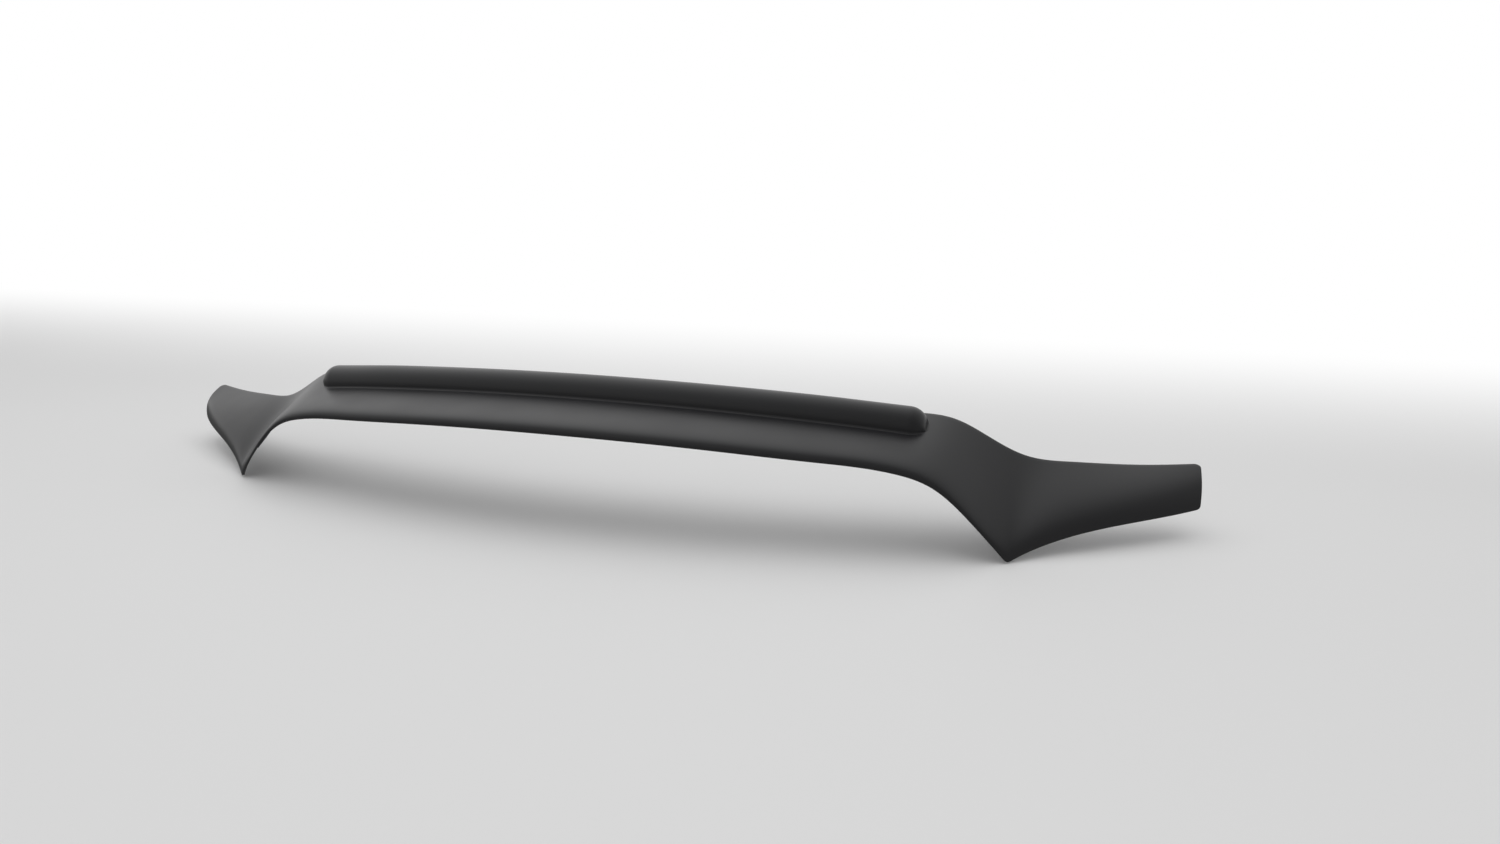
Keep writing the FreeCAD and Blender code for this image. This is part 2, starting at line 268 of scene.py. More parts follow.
def cubic(stations, mirrored=False):
    """Smooth cubic through stations, as a function of the distance from the middle."""
    points = np.array(stations, float)
    if mirrored:
        points = np.vstack([points[:0:-1] * [-1, 1, 1], points])
    x = points[:, 0]
    count = len(x)
    rows = np.zeros((count, count))
    right = np.zeros((count, 3))
    rows[0, 0] = rows[-1, -1] = 1.0
    right[0], right[-1] = end_slope(points[:4]), end_slope(points[::-1][:4])
    for i in range(1, count - 1):
        before, after = x[i] - x[i - 1], x[i + 1] - x[i]
        rows[i, i - 1:i + 2] = after, 2 * (before + after), before
        falls = after * (points[i] - points[i - 1]) / before
        right[i] = 3 * (falls + before * (points[i + 1] - points[i]) / after)
    slopes = np.linalg.solve(rows, right)

    def value(at):
        at = np.asarray(at, float)
        inside = np.clip(at, x[0], x[-1])
        k = np.clip(np.searchsorted(x, inside, side="right") - 1, 0, count - 2)
        step = x[k + 1] - x[k]
        t = ((inside - x[k]) / step)[..., None]
        step = step[..., None]
        p, q, m, n = points[k], points[k + 1], slopes[k] * step, slopes[k + 1] * step
        spot = ((2 * t ** 3 - 3 * t ** 2 + 1) * p + (t ** 3 - 2 * t ** 2 + t) * m
                + (3 * t ** 2 - 2 * t ** 3) * q + (t ** 3 - t ** 2) * n)
        slope = ((6 * t ** 2 - 6 * t) * (p - q) + (3 * t ** 2 - 4 * t + 1) * m
                 + (3 * t ** 2 - 2 * t) * n) / step
        return spot + slope * (at - inside)[..., None]

    return value


def conic(poles, weight, t):
    """Points of the conic on three poles, whose middle one pulls with a weight."""
    share = np.stack([(1 - t) ** 2, 2 * weight * t * (1 - t), t ** 2], axis=-1)
    return share @ poles / share.sum(axis=-1, keepdims=True)


class Face:
    """Outer face of the sheet without its lip, worked out from the sizes."""

    def __init__(self, s):
        self.half_width = s.half_width
        self.tip = CHEEK_EDGE["tip"][0] * s.half_width
        self.rear = self.edge(REAR_EDGE, mirrored=True)
        self.cheek = self.edge(CHEEK_EDGE, mirrored=True)
        self.wing = self.edge(WING_EDGE)
        self.lines = {}

    def edge(self, stations, mirrored=False):
        """Curve of an edge, from stations whose distances are shares of the half width."""
        return cubic([(x * self.half_width, y, z) for x, y, z in stations.values()], mirrored)

    def lower(self, a, softness):
        """Lower edge at a distance from the middle: two curves that meet at the tip, rounded over."""
        off = a - self.tip
        return mix(self.cheek(a), self.wing(a), 0.5 + 0.5 * off / math.hypot(off, softness))

    def line(self, x):
        """Section at x: its poles, its weight, and the distance down it against its parameter."""
        key = round(float(x), 4)
        if key not in self.lines:
            a = abs(x)
            rear = self.rear(a)
            lower = self.lower(a, TIP_SHARPNESS)
            base = self.lower(a, VALLEY_SOFTNESS)
            start, end = ROLL_CHANGE
            change = float(ease((a / self.half_width - start) / (end - start)))
            weight = mix(*ROLL_WEIGHT, change)
            corner = [x, base[1] - mix(*ROLL_AHEAD, change), base[2] + mix(*ROLL_HEIGHT, change)]
            poles = np.array([[x, rear[1], rear[2]], corner, [x, lower[1], lower[2]]])
            t = np.linspace(0.0, 1.0, LINE_STEPS)
            steps = np.linalg.norm(np.diff(conic(poles, weight, t), axis=0), axis=1)
            self.lines[key] = (poles, weight, t, np.concatenate([[0.0], np.cumsum(steps)]))
        return self.lines[key]

    def run(self, x):
        """Length of the section at x."""
        return self.line(x)[3][-1]

    def at(self, x, distance):
        """Points at distances from the rear edge, measured down the section at x."""
        poles, weight, t, run = self.line(x)
        return conic(poles, weight, np.interp(distance, run, t))

    def outward(self, x, distance):
        """Unit vectors square to the face."""
        distance = np.asarray(distance, float)
        run = self.run(x)
        low, high = np.maximum(distance - PROBE, 0.0), np.minimum(distance + PROBE, run)
        share = distance / run
        across = (self.at(x + PROBE, share * self.run(x + PROBE))
                  - self.at(x - PROBE, share * self.run(x - PROBE)))
        return unit(np.cross(self.at(x, high) - self.at(x, low), across))

    def behind(self, x, distance, depth):
        """Points at a depth behind the face."""
        return self.at(x, distance) - self.outward(x, distance) * depth


class Lip:
    """The hollow air lip on the face, worked out from the sizes."""

    def __init__(self, s, face):
        self.face = face
        self.radius, self.sink, self.fillet = s.lip_radius, s.lip_sink, s.lip_fillet
        self.half_width = math.sqrt((self.radius + self.fillet) ** 2 - (self.fillet + self.sink) ** 2)
        self.straight = s.lip_half_length - self.half_width
        self.line = s.lip_flange + self.half_width
        self.lean = math.asin(self.half_width / (self.radius + self.fillet))
        self.turn_share = self.radius / (self.radius + self.fillet)

    def section(self, t):
        """Distance out and height of the lip: t is 0 at its top and 1 where its fillet ends."""
        a = np.abs(t)
        turn = self.lean * a / self.turn_share
        back = self.lean * (1.0 - a) / (1.0 - self.turn_share)
        on_top = a <= self.turn_share
        out = np.where(on_top, self.radius * np.sin(turn), self.half_width - self.fillet * np.sin(back))
        height = np.where(on_top, self.radius * np.cos(turn) - self.sink,
                          self.fillet * (1 - np.cos(back)))
        return np.copysign(out, t), height

    def reach(self, angle):
        """How far the nose reaches past the straight lip where its outline has turned by an angle."""
        return self.half_width * math.sin(angle) / math.sin(NOSE_TURN)

    def top_share(self, reach):
        """Height on the nose's middle line against the straight lip: the same section, turned."""
        if reach <= self.radius * math.sin(self.lean):
            height = math.sqrt(self.radius ** 2 - reach ** 2) - self.sink
        else:
            height = self.fillet - math.sqrt(self.fillet ** 2 - max(self.half_width - reach, 0.0) ** 2)
        return height / (self.radius - self.sink)

    def place(self, u):
        """At u along the lip: x of its section, x at the edges of the face, and turn of the nose."""
        angle = max(abs(u) - self.straight, 0.0) / self.half_width
        x = min(abs(u), self.straight)
        side = math.copysign(1.0, u)
        return side * (x + self.reach(angle)), side * (x + self.half_width * angle / NOSE_TURN), angle

    def points(self, u, t):
        """Points of the lip's outer skin."""
        x, _, angle = self.place(u)
        out, height = self.section(t)
        distance = self.line + out * math.cos(angle)
        rise = height * self.top_share(self.reach(angle))
        return self.face.at(x, distance) + self.face.outward(x, distance) * rise[:, None]

    def behind(self, u, t, depth):
        """Points at a depth behind the lip's outer skin."""
        x, _, angle = self.place(u)
        flat = self.face.behind(x, self.line + self.section(t)[0] * math.cos(angle), depth)
        if angle > NOSE_TURN - 1e-6:
            return flat
        along = self.points(u + LIP_PROBE, t) - self.points(u - LIP_PROBE, t)
        inner = np.clip(t, LIP_SHARE_PROBE - 1.0, 1.0 - LIP_SHARE_PROBE)
        around = self.points(u, inner + LIP_SHARE_PROBE) - self.points(u, inner - LIP_SHARE_PROBE)
        raised = self.points(u, t) - unit(np.cross(around, along)) * depth
        raised[0], raised[-1] = flat[0], flat[-1]
        return raised


def lip_rows(lip):
    """Distances along the lip: even on its straight part, and round each nose by equal turns."""
    nose = lip.straight + lip.half_width * NOSE_TURN * np.linspace(0.0, 1.0, NOSE_STEPS + 1)[1:]
    right = np.concatenate([np.linspace(0.0, lip.straight, STRAIGHT_STEPS + 1), nose])
    return np.concatenate([-right[:0:-1], right])


def end_rows(s, tip):
    """Places of the sections of an end, closer together at the tip and at the rounded corners."""
    spans = [(s.lip_half_length, tip + TIP_BANDS[0][0], SHOULDER_STEPS)]
    spans += [(tip + start, tip + end, steps) for start, end, steps in TIP_BANDS]
    spans += [(tip + TIP_BANDS[-1][1], s.half_width - s.end_corner_top, WING_STEPS)]
    rows = [np.linspace(start, end, steps, endpoint=False) for start, end, steps in spans]
    turns = np.linspace(0.0, math.pi / 2, CORNER_STEPS + 1)
    corner = s.half_width - s.end_corner_top * (1 - np.sin(turns))
    return np.concatenate(rows + [corner])[1:]


def corner_cut(s, a, radius):
    """How far a rounded corner pulls an edge in at a distance a from the middle."""
    over = max(a - (s.half_width - radius), 0.0)
    return radius - math.sqrt(max(radius ** 2 - over ** 2, 0.0))


def centre_row(lip, u, depth):
    """One row of the middle part, from the rear edge over the lip to the lower edge."""
    face = lip.face
    lip_x, edge_x, angle = lip.place(u)
    half = lip.half_width * math.cos(angle)
    rear = [face.behind(mix(edge_x, lip_x, c), mix(0.0, lip.line - half, c), depth)
            for c in REAR_COLUMNS[:-1]]
    middle = lip.behind(u, LIP_COLUMNS, depth) if depth else lip.points(u, LIP_COLUMNS)
    front = []
    for c in FRONT_COLUMNS[1:]:
        x = mix(lip_x, edge_x, c)
        front.append(face.behind(x, mix(lip.line + half, face.run(x), c), depth))
    return np.vstack([rear, middle, front])


def end_row(s, lip, x, depth):
    """One row of an end, from the rear edge to the lower edge, with the same columns."""
    half = lip.half_width * math.cos(NOSE_TURN)
    start = corner_cut(s, abs(x), s.end_corner_top)
    stop = lip.face.run(x) - corner_cut(s, abs(x), s.end_corner_bottom)
    rear = mix(start, lip.line - half, REAR_COLUMNS[:-1])
    middle = lip.line + half * lip.section(LIP_COLUMNS)[0] / lip.half_width
    front = mix(lip.line + half, stop, FRONT_COLUMNS[1:])
    return lip.face.behind(x, np.concatenate([rear, middle, front]), depth)


def shell_grid(s, lip, depth):
    """All rows of the skin at a depth behind the outer face, from one end to the other."""
    ends = end_rows(s, lip.face.tip)
    rows = [end_row(s, lip, -x, depth) for x in ends[::-1]]
    rows += [centre_row(lip, u, depth) for u in lip_rows(lip)]
    rows += [end_row(s, lip, x, depth) for x in ends]
    return np.array(rows)


def rounded_sheet(name, front, back, radius, materials):
    """Closed piece between two grids of points, the last material being the one round its rim."""
    rows, columns = front.shape[:2]
    mesh = bmesh.new()
    f, b = [[[mesh.verts.new(p * MM) for p in row] for row in grid] for grid in (front, back)]
    for i in range(rows - 1):
        for j in range(columns - 1):
            mesh.faces.new((f[i][j], f[i + 1][j], f[i + 1][j + 1], f[i][j + 1]))
            mesh.faces.new((b[i][j], b[i][j + 1], b[i + 1][j + 1], b[i + 1][j]))
    ring = [(i, 0) for i in range(rows)] + [(rows - 1, j) for j in range(1, columns)]
    ring += [(i, columns - 1) for i in range(rows - 2, -1, -1)]
    ring += [(0, j) for j in range(columns - 2, 0, -1)]
    rim = []
    rim_material = len(materials) - 1
    for (i, j), (k, m) in zip(ring, ring[1:] + ring[:1]):
        wall = mesh.faces.new((f[k][m], f[i][j], b[i][j], b[k][m]))
        wall.material_index = rim_material
        rim += [(f[i][j], f[k][m]), (b[i][j], b[k][m])]
    bmesh.ops.recalc_face_normals(mesh, faces=mesh.faces)
    bmesh.ops.bevel(mesh, geom=[mesh.edges.get(pair) for pair in rim], offset=radius * MM,
                    segments=RIM_SEGMENTS, profile=0.5, affect="EDGES", clamp_overlap=True,
                    material=rim_material)
    piece = finished(name, mesh)
    for material in materials:
        piece.data.materials.append(material)
    return piece


def finished(name, mesh):
    """Object from a bmesh, shaded smooth, its place in its mesh."""
    data = bpy.data.meshes.new(name)
    mesh.to_mesh(data)
    mesh.free()
    data.shade_smooth()
    return added(bpy.data.objects.new(name, data))


def added(made):
    """Link an object into the scene."""
    bpy.context.scene.collection.objects.link(made)
    return made


def belongs(piece, node_name):
    """The piece stands for one CAD node, on the one body that the part has."""
    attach(piece, "root")
    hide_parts(node_name)


def node(tree, kind, place, inputs=None, **settings):
    """Node of a tree, with its settings and the values of its inputs."""
    made = tree.nodes.new(kind)
    made.location = place
    for key, value in settings.items():
        setattr(made, key, value)
    for key, value in (inputs or {}).items():
        made.inputs[key].default_value = value
    return made


def socket(tree, name, kind, default=None, in_out="INPUT"):
    """Named socket of a node group."""
    made = tree.interface.new_socket(name, in_out=in_out, socket_type="NodeSocket" + kind)
    if default is not None:
        made.default_value = default
    return made


def grain_group():
    """Fine grain of a matte surface over soft clouds: sizes in mm in, height and roughness out."""
    name = "Matte grain"
    if name in bpy.data.node_groups:
        return bpy.data.node_groups[name]
    tree = bpy.data.node_groups.new(name, "ShaderNodeTree")
    socket(tree, "Grain size", "Float", 1.0)
    socket(tree, "Cloud size", "Float", 60.0)
    socket(tree, "Low roughness", "Float", 0.4)
    socket(tree, "High roughness", "Float", 0.5)
    for output in ("Height", "Roughness", "Cloud"):
        socket(tree, output, "Float", in_out="OUTPUT")
    start = node(tree, "NodeGroupInput", (-900, 0))
    spot = node(tree, "ShaderNodeTexCoord", (-900, 300))
    fine_scale = node(tree, "ShaderNodeMath", (-700, 100), {0: 1 / MM}, operation="DIVIDE")
    cloud_scale = node(tree, "ShaderNodeMath", (-700, -100), {0: 1 / MM}, operation="DIVIDE")
    fine = node(tree, "ShaderNodeTexNoise", (-500, 200), FINE_NOISE)
    cloud = node(tree, "ShaderNodeTexNoise", (-500, -100), CLOUD_NOISE)
    shade = node(tree, "ShaderNodeMapRange", (-200, -100),
                 {"From Min": CLOUD_SPAN[0], "From Max": CLOUD_SPAN[1]})
    end = node(tree, "NodeGroupOutput", (100, 0))
    link = tree.links.new
    link(start.outputs["Grain size"], fine_scale.inputs[1])
    link(start.outputs["Cloud size"], cloud_scale.inputs[1])
    link(spot.outputs["Object"], fine.inputs["Vector"])
    link(spot.outputs["Object"], cloud.inputs["Vector"])
    link(fine_scale.outputs[0], fine.inputs["Scale"])
    link(cloud_scale.outputs[0], cloud.inputs["Scale"])
    link(cloud.outputs["Fac"], shade.inputs["Value"])
    link(start.outputs["Low roughness"], shade.inputs["To Min"])
    link(start.outputs["High roughness"], shade.inputs["To Max"])
    link(fine.outputs["Fac"], end.inputs["Height"])
    link(shade.outputs["Result"], end.inputs["Roughness"])
    link(cloud.outputs["Fac"], end.inputs["Cloud"])
    return tree


def grained(name, colour, *, grain, cloud, roughness, bump, tint=0.06, shine=0.5):
    """Matte material: grain, cloud and bump are sizes in mm, and roughness is its range."""
    material = bpy.data.materials.new(name)
    material.use_nodes = True
    tree = material.node_tree
    shader = tree.nodes["Principled BSDF"]
    group = node(tree, "ShaderNodeGroup", (-700, 0), node_tree=grain_group())
    group.inputs["Grain size"].default_value = grain
    group.inputs["Cloud size"].default_value = cloud
    for entry, value in zip(("Low roughness", "High roughness"), roughness):
        group.inputs[entry].default_value = value
    darker, lighter = ([c * share for c in colour] + [1.0] for share in (1 - tint, 1 + tint))
    ramp = node(tree, "ShaderNodeMix", (-400, 200), data_type="RGBA")
    ramp.inputs["A"].default_value = darker
    ramp.inputs["B"].default_value = lighter
    lift = node(tree, "ShaderNodeBump", (-400, -200), {"Strength": 1.0, "Distance": bump * MM})
    link = tree.links.new
    link(group.outputs["Cloud"], ramp.inputs["Factor"])
    link(ramp.outputs["Result"], shader.inputs["Base Color"])
    link(group.outputs["Roughness"], shader.inputs["Roughness"])
    link(group.outputs["Height"], lift.inputs["Height"])
    link(lift.outputs["Normal"], shader.inputs["Normal"])
    shader.inputs["Specular IOR Level"].default_value = shine
    return material


class DEFLECTOR_OT_shell(bpy.types.Operator):
    """Build the acrylic shell with its hollow lip and its routed edge"""

    bl_idname = "deflector.shell"
    bl_label = "Acrylic shell"

    def execute(self, context):
        s, colours = context.scene.deflector_sizes, context.scene.deflector_colours
        lip = Lip(s, Face(s))
        # The sheet's base colour holds a painted blue reflection tint over its own dark grey.
        sheet = grained("Satin dark acrylic", colours.acrylic, **LOOKS["sheet"])
        edge = grained("Routed acrylic edge", colours.edge, **LOOKS["edge"])
        front, back = shell_grid(s, lip, 0.0), shell_grid(s, lip, s.sheet)
        shell = rounded_sheet("acrylic_shell", front, back, s.edge_round, (sheet, edge))
        belongs(shell, "deflector_shell")
        return {"FINISHED"}


def square_width(face, x, width, edge):
    """Run down the section at x that makes a strip of a given width square to its edge."""
    run = face.run(x)
    before, after = (face.at(at, edge * face.run(at)) for at in (x - PROBE, x + PROBE))
    down = face.at(x, mix(PROBE, run, edge)) - face.at(x, mix(0.0, run - PROBE, edge))
    return width / math.sqrt(1 - float(unit(after - before) @ unit(down)) ** 2)


def tape(s, face, name, start, end, edge, inset, width, material):
    """One strip of foam tape: edge is 0 along the rear edge and 1 along the lower edge."""
    count = max(int(abs(end - start) / TAPE_STEP), TAPE_MIN_STEPS)
    grids = []
    for depth in (s.sheet + s.tape_glue, s.sheet + s.tape_glue + s.tape_thick):
        rows = []
        for x in np.linspace(start, end, count + 1):
            near, far = (square_width(face, x, away, edge) for away in (inset, inset + width))
            spots = np.linspace(near, far, TAPE_COLUMNS)
            rows.append(face.behind(x, face.run(x) - spots if edge else spots, depth))
        grids.append(np.array(rows))
    return rounded_sheet(name, *grids, TAPE_ROUND, (material,))


class DEFLECTOR_OT_tapes(bpy.types.Operator):
    """Build the foam tape strips behind the shell"""

    bl_idname = "deflector.tapes"
    bl_label = "Foam tapes"

    def execute(self, context):
        s = context.scene.deflector_sizes
        face = Face(s)
        gap = s.tape_gap
        centre = Lip(s, face).straight - gap
        shoulder, cheek = (edge[key][0] * s.half_width for edge, key in
                           ((REAR_EDGE, "shoulder"), (CHEEK_EDGE, "corner")))
        wing_end = s.half_width - gap
        strips = {"rear_tape_centre": (-centre, centre, 0, INSET_NARROW, s.tape_narrow),
                  "lower_tape_centre": (-centre, centre, 1, INSET_LOWER, s.tape_width)}
        paired = {"rear_tape_": (shoulder - gap, wing_end, 0, INSET_REAR),
                  "side_tape_": (cheek + gap, face.tip - 2 * gap, 1, INSET_LOWER),
                  "wing_tape_": (face.tip + 2 * gap, wing_end, 1, INSET_WING)}
        for side, hand in (("right", -1), ("left", 1)):
            for name, (start, end, edge, inset) in paired.items():
                strips[name + side] = (hand * start, hand * end, edge, inset, s.tape_width)
        foam = grained("Foam tape", context.scene.deflector_colours.tape, **LOOKS["foam"])
        for name, (start, end, edge, inset, width) in strips.items():
            strip = tape(s, face, "foam_" + name, *sorted((start, end)), edge, inset, width, foam)
            belongs(strip, name)
        return {"FINISHED"}


def pad_tree():
    """Round soft pads on the points of a mesh, each along its point's own direction."""
    tree = bpy.data.node_groups.new("Bump pads", "GeometryNodeTree")
    socket(tree, "Geometry", "Geometry")
    socket(tree, "Radius", "Float", 7 * MM).subtype = "DISTANCE"
    socket(tree, "Thickness", "Float", 3 * MM).subtype = "DISTANCE"
    socket(tree, "Squareness", "Float", PAD_SQUARENESS)
    socket(tree, "Material", "Material")
    socket(tree, "Geometry", "Geometry", in_out="OUTPUT")
    start = node(tree, "NodeGroupInput", (-1400, 0))
    grid = node(tree, "GeometryNodeMeshGrid", (-1200, 300),
                {"Size X": 1.0, "Size Y": 1.0,
                 "Vertices X": PAD_TURN_POINTS, "Vertices Y": PAD_RISE_POINTS})
    place = node(tree, "GeometryNodeInputPosition", (-1400, -300))
    split = node(tree, "ShaderNodeSeparateXYZ", (-1200, -300))
    link = tree.links.new
    link(place.outputs[0], split.inputs[0])

    def maths(operation, first, second=None, at=(0, 0)):
        made = node(tree, "ShaderNodeMath", at, operation=operation)
        for slot, value in enumerate((first, second)):
            if isinstance(value, (int, float)):
                made.inputs[slot].default_value = value
            elif value is not None:
                link(value, made.inputs[slot])
        return made.outputs[0]

    def squared(value, at):
        """Sine or cosine raised to the squareness, with its sign kept."""
        size = maths("POWER", maths("ABSOLUTE", value, at=at), start.outputs["Squareness"], at)
        return maths("MULTIPLY", size, maths("SIGN", value, at=at), at)

    turn = maths("MULTIPLY", split.outputs["X"], 2 * math.pi, (-1000, -300))
    upward = maths("ADD", split.outputs["Y"], 0.5, (-1000, -450))
    rise = maths("MULTIPLY", upward, math.pi, (-800, -450))
    out = maths("MULTIPLY", squared(maths("SINE", rise, at=(-600, -400)), (-450, -400)),
                start.outputs["Radius"], (-300, -400))
    level = squared(maths("COSINE", rise, at=(-600, -600)), (-450, -600))
    half = maths("MULTIPLY", start.outputs["Thickness"], 0.5, (-450, -750))
    height = maths("SUBTRACT", half, maths("MULTIPLY", level, half, (-300, -650)), (-150, -650))
    spot = node(tree, "ShaderNodeCombineXYZ", (0, -400))
    link(maths("MULTIPLY", out, maths("COSINE", turn, at=(-300, -200)), (-150, -200)), spot.inputs["X"])
    link(maths("MULTIPLY", out, maths("SINE", turn, at=(-300, -100)), (-150, -100)), spot.inputs["Y"])
    link(height, spot.inputs["Z"])
    bend = node(tree, "GeometryNodeSetPosition", (200, 300))
    merge = node(tree, "GeometryNodeMergeByDistance", (400, 300), {"Distance": PAD_MERGE * MM})
    along = node(tree, "GeometryNodeInputNamedAttribute", (200, -200), {"Name": "out"},
                 data_type="FLOAT_VECTOR")
    aim = node(tree, "FunctionNodeAlignRotationToVector", (400, -200), axis="Z")
    spread = node(tree, "GeometryNodeInstanceOnPoints", (600, 0))
    real = node(tree, "GeometryNodeRealizeInstances", (800, 0))
    smooth = node(tree, "GeometryNodeSetShadeSmooth", (1000, 0))
    paint = node(tree, "GeometryNodeSetMaterial", (1200, 0))
    end = node(tree, "NodeGroupOutput", (1400, 0))
    link(grid.outputs["Mesh"], bend.inputs["Geometry"])
    link(spot.outputs[0], bend.inputs["Position"])
    link(bend.outputs["Geometry"], merge.inputs["Geometry"])
    link(merge.outputs["Geometry"], spread.inputs["Instance"])
    link(start.outputs["Geometry"], spread.inputs["Points"])
    link(along.outputs["Attribute"], aim.inputs["Vector"])
    link(aim.outputs["Rotation"], spread.inputs["Rotation"])
    link(spread.outputs["Instances"], real.inputs["Geometry"])
    link(real.outputs["Geometry"], smooth.inputs["Geometry"])
    link(smooth.outputs["Geometry"], paint.inputs["Geometry"])
    link(start.outputs["Material"], paint.inputs["Material"])
    link(paint.outputs["Geometry"], end.inputs["Geometry"])
    return tree


class DEFLECTOR_OT_pads(bpy.types.Operator):
    """Build the bump pads under the face"""

    bl_idname = "deflector.pads"
    bl_label = "Bump pads"

    def execute(self, context):
        s = context.scene.deflector_sizes
        face = Face(s)
        lip = Lip(s, face)
        distance = lip.line + lip.half_width + PAD_SETBACK
        places = [share * s.half_width for share in PAD_PLACES]
        seats = bpy.data.meshes.new("pad_seats")
        spots = [face.behind(x, [distance], s.sheet + PAD_GLUE)[0] * MM for x in places]
        seats.from_pydata(spots, [], [])
        directions = seats.attributes.new("out", "FLOAT_VECTOR", "POINT")
        for x, direction in zip(places, directions.data):
            direction.vector = -face.outward(x, [distance])[0]
        base = added(bpy.data.objects.new("pad_seats", seats))
        rubber = grained("Soft clear pad", context.scene.deflector_colours.pad, **LOOKS["pad"])
        modifier = base.modifiers.new("Pads", "NODES")
        modifier.node_group = pad_tree()
        values = {"Radius": s.pad_radius * MM, "Thickness": s.pad_thick * MM, "Material": rubber}
        for item in modifier.node_group.interface.items_tree:
            if item.in_out == "INPUT" and item.name in values:
                modifier[item.identifier] = values[item.name]
        evaluated = base.evaluated_get(context.evaluated_depsgraph_get())
        data = bpy.data.meshes.new_from_object(evaluated)
        base.modifiers.remove(modifier)
        bpy.data.objects.remove(base)
        if not data.polygons:
            raise RuntimeError("The bump pads came out empty")
        data.name = "bump_pad_set"
        belongs(added(bpy.data.objects.new("bump_pad_set", data)), "bump_pads")
        return {"FINISHED"}


def softbox(name, place, target, power, width, depth):
    """Soft area lamp, aimed at a target, that the part itself doesn't mirror."""
    data = bpy.data.lights.new(name, "AREA")
    data.energy = power
    data.shape = "RECTANGLE"
    data.size, data.size_y = width, depth
    lamp = added(bpy.data.objects.new(name, data))
    lamp.visible_glossy = False
    lamp.location = place
    lamp.rotation_euler = (Vector(target) - Vector(place)).to_track_quat("-Z", "Y").to_euler()


def seen_background(tree, place):
    """1 where a ray shows the background, as camera, mirror and glass rays do, and 0 elsewhere."""
    path = node(tree, "ShaderNodeLightPath", (place[0] - 400, place[1]))
    first = node(tree, "ShaderNodeMath", (place[0] - 200, place[1]), operation="MAXIMUM")
    last = node(tree, "ShaderNodeMath", place, operation="MAXIMUM")
    tree.links.new(path.outputs["Is Camera Ray"], first.inputs[0])
    tree.links.new(path.outputs["Is Glossy Ray"], first.inputs[1])
    tree.links.new(first.outputs[0], last.inputs[0])
    tree.links.new(path.outputs["Is Transmission Ray"], last.inputs[1])
    return last.outputs[0]


def floor_material(colour):
    """Pale floor that fades to white away from the part, and that the part mirrors as dim."""
    material = grained("Studio floor", colour, **LOOKS["floor"])
    tree = material.node_tree
    spot = node(tree, "ShaderNodeTexCoord", (-900, 700))
    split = node(tree, "ShaderNodeSeparateXYZ", (-700, 800))
    far = node(tree, "ShaderNodeVectorMath", (-700, 600), operation="LENGTH")
    fades = [node(tree, "ShaderNodeMapRange", (-500, height),
                  {"From Min": span[0], "From Max": span[1]}, interpolation_type="SMOOTHSTEP")
             for height, span in ((800, BEHIND_FADE), (500, ROUND_FADE))]
    dim = node(tree, "ShaderNodeMapRange", (-500, 200), interpolation_type="SMOOTHSTEP",
               inputs={"From Min": BEHIND_FADE[0], "From Max": BEHIND_FADE[1], "To Min": FLOOR_LIGHT})
    sight = node(tree, "ShaderNodeLightPath", (-900, 400))
    bright = node(tree, "ShaderNodeMath", (-300, 300), operation="MAXIMUM")
    either = node(tree, "ShaderNodeMath", (-300, 700), operation="MAXIMUM")
    shown = node(tree, "ShaderNodeMath", (-200, 500), operation="MAXIMUM")
    seen = node(tree, "ShaderNodeMath", (-100, 700), operation="MULTIPLY")
    white = node(tree, "ShaderNodeEmission", (0, 400), {"Color": WHITE})
    choose = node(tree, "ShaderNodeMixShader", (400, 200))
    link = tree.links.new
    link(split.outputs["Y"], dim.inputs["Value"])
    link(dim.outputs["Result"], bright.inputs[0])
    link(sight.outputs["Is Camera Ray"], bright.inputs[1])
    link(bright.outputs[0], white.inputs["Strength"])
    link(either.outputs[0], shown.inputs[0])
    link(sight.outputs["Is Glossy Ray"], shown.inputs[1])
    link(spot.outputs["Object"], split.inputs[0])
    link(spot.outputs["Object"], far.inputs[0])
    link(split.outputs["Y"], fades[0].inputs["Value"])
    link(far.outputs["Value"], fades[1].inputs["Value"])
    for fade, entry in zip(fades, either.inputs):
        link(fade.outputs["Result"], entry)
    link(shown.outputs[0], seen.inputs[0])
    link(seen_background(tree, (-300, 950)), seen.inputs[1])
    link(seen.outputs[0], choose.inputs[0])
    link(tree.nodes["Principled BSDF"].outputs[0], choose.inputs[1])
    link(white.outputs[0], choose.inputs[2])
    link(choose.outputs[0], tree.nodes["Material Output"].inputs["Surface"])
    return material


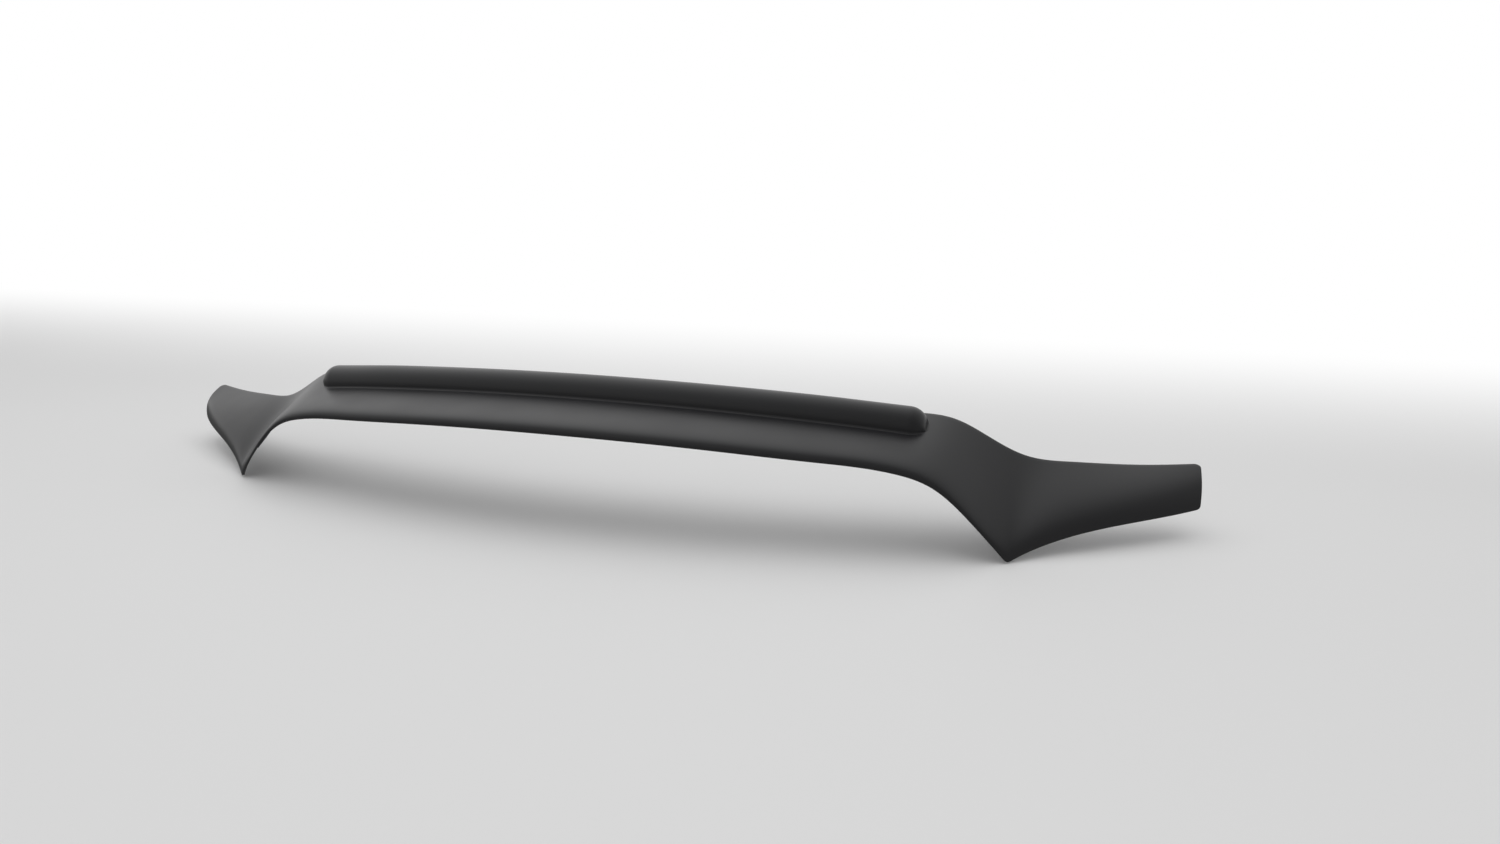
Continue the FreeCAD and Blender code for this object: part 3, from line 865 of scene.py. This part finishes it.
def studio_world(tree):
    """Soft even light, and a ground that shows white but is mirrored dimmer ahead and to one side."""
    tree.nodes.clear()
    soft = node(tree, "ShaderNodeBackground", (-200, 100), {"Color": WHITE, "Strength": WORLD_LIGHT})
    shown = node(tree, "ShaderNodeBackground", (-200, -100), {"Color": WHITE})
    way = node(tree, "ShaderNodeTexCoord", (-1000, -200))
    split = node(tree, "ShaderNodeSeparateXYZ", (-800, -200))
    dim = node(tree, "ShaderNodeMapRange", (-600, -200), interpolation_type="SMOOTHSTEP",
               inputs={"From Min": FRONT_FADE[0], "From Max": FRONT_FADE[1], "To Min": FRONT_LIGHT})
    side = node(tree, "ShaderNodeMapRange", (-600, -500), interpolation_type="SMOOTHSTEP",
                inputs={"From Min": SIDE_FADE[0], "From Max": SIDE_FADE[1],
                        "To Min": 1.0, "To Max": SIDE_LIGHT})
    both = node(tree, "ShaderNodeMath", (-500, -350), operation="MULTIPLY")
    sight = node(tree, "ShaderNodeLightPath", (-600, -800))
    bright = node(tree, "ShaderNodeMath", (-400, -200), operation="MAXIMUM")
    choose = node(tree, "ShaderNodeMixShader", (0, 0))
    out = node(tree, "ShaderNodeOutputWorld", (200, 0))
    link = tree.links.new
    link(way.outputs["Generated"], split.inputs[0])
    link(split.outputs["Y"], dim.inputs["Value"])
    link(split.outputs["X"], side.inputs["Value"])
    link(dim.outputs["Result"], both.inputs[0])
    link(side.outputs["Result"], both.inputs[1])
    link(both.outputs[0], bright.inputs[0])
    link(sight.outputs["Is Camera Ray"], bright.inputs[1])
    link(bright.outputs[0], shown.inputs["Strength"])
    link(seen_background(tree, (-200, 300)), choose.inputs[0])
    link(soft.outputs[0], choose.inputs[1])
    link(shown.outputs[0], choose.inputs[2])
    link(choose.outputs[0], out.inputs["Surface"])


class DEFLECTOR_OT_stage(bpy.types.Operator):
    """Build the pale floor, the soft studio light and the camera"""

    bl_idname = "deflector.stage"
    bl_label = "Stage"

    def execute(self, context):
        scene = context.scene
        mesh = bmesh.new()
        bmesh.ops.create_grid(mesh, x_segments=1, y_segments=1, size=FLOOR_HALF)
        bmesh.ops.translate(mesh, verts=mesh.verts, vec=(0.0, 0.0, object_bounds()[0].z - FLOOR_GAP))
        floor = finished("studio_floor", mesh)
        floor.data.materials.append(floor_material(scene.deflector_colours.floor))
        floor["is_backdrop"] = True
        scene.world = scene.world or bpy.data.worlds.new("Studio")
        scene.world.use_nodes = True
        studio_world(scene.world.node_tree)
        for lamp in LAMPS:
            softbox(*lamp)
        camera_data = bpy.data.cameras.new("photo camera")
        camera_data.sensor_width = CAMERA_SENSOR
        camera_data.lens = CAMERA_LENS
        camera = added(bpy.data.objects.new("photo camera", camera_data))
        turn = Matrix((CAMERA_RIGHT, -Vector(CAMERA_DOWN), -Vector(CAMERA_FORWARD))).transposed()
        camera.matrix_world = Matrix.Translation(CAMERA_PLACE) @ turn.to_4x4()
        scene.camera = camera
        scene.view_settings.view_transform = "Standard"
        return {"FINISHED"}


OPERATORS = (DEFLECTOR_OT_shell, DEFLECTOR_OT_tapes, DEFLECTOR_OT_pads, DEFLECTOR_OT_stage)


class DEFLECTOR_PT_panel(bpy.types.Panel):
    """Deflector tools and sizes"""

    bl_label = "Deflector"
    bl_idname = "DEFLECTOR_PT_panel"
    bl_space_type = "VIEW_3D"
    bl_region_type = "UI"
    bl_category = "Deflector"

    def draw(self, context):
        for group in (context.scene.deflector_sizes, context.scene.deflector_colours):
            box = self.layout.box()
            for key in group.__annotations__:
                box.prop(group, key)
        for operator in OPERATORS:
            self.layout.operator(operator.bl_idname)


CLASSES = (DeflectorSizes, DeflectorColours, *OPERATORS, DEFLECTOR_PT_panel)


def register():
    for cls in CLASSES:
        bpy.utils.register_class(cls)
    bpy.types.Scene.deflector_sizes = bpy.props.PointerProperty(type=DeflectorSizes)
    bpy.types.Scene.deflector_colours = bpy.props.PointerProperty(type=DeflectorColours)


def unregister():
    del bpy.types.Scene.deflector_colours
    del bpy.types.Scene.deflector_sizes
    for cls in reversed(CLASSES):
        bpy.utils.unregister_class(cls)


def main():
    register()
    bpy.ops.deflector.shell()
    bpy.ops.deflector.tapes()
    bpy.ops.deflector.pads()
    bpy.ops.deflector.stage()


if __name__ == "__main__":
    main()
